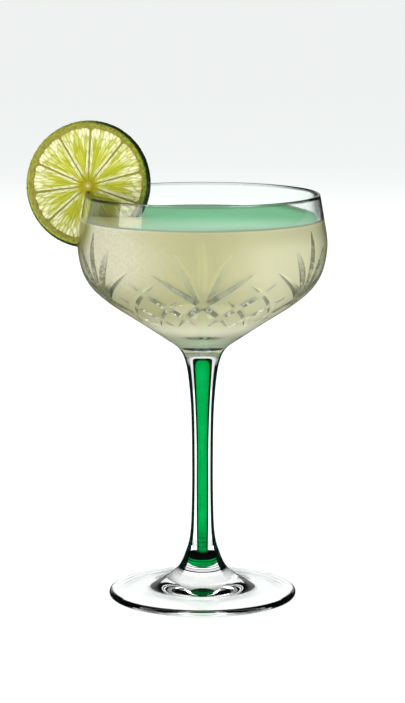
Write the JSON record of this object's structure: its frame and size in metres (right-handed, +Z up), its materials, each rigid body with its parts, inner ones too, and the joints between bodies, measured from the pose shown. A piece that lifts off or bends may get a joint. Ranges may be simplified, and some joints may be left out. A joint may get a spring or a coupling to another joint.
{
  "type": "daiquiri",
  "caption": "Daiquiri cocktail in a stemmed coupe with a cut fan pattern round its bowl, a green core in the stem and a lime wheel astride the rim.",
  "frame": {"origin": "centre of the foot's flat underside, on the glass's axis", "axes": "+Z up along the glass's axis; -Y towards the drinker, who sees the lime wheel on the left of the rim; +X to the drinker's right"},
  "size_m": [0.1178, 0.0972, 0.1872],
  "materials": {
    "clear_glass": "polished clear glass with bright V cuts",
    "green_glass": "polished deep green glass",
    "daiquiri": "cloudy pale yellow-green liquid, still and glossy",
    "lime": "moist cut lime flesh with a waxy green peel"
  },
  "bodies": {
    "root": {"glass": "clear_glass", "stem_core": "green_glass", "drink": "daiquiri", "lime_wheel": "lime"}
  },
  "joints": []
}
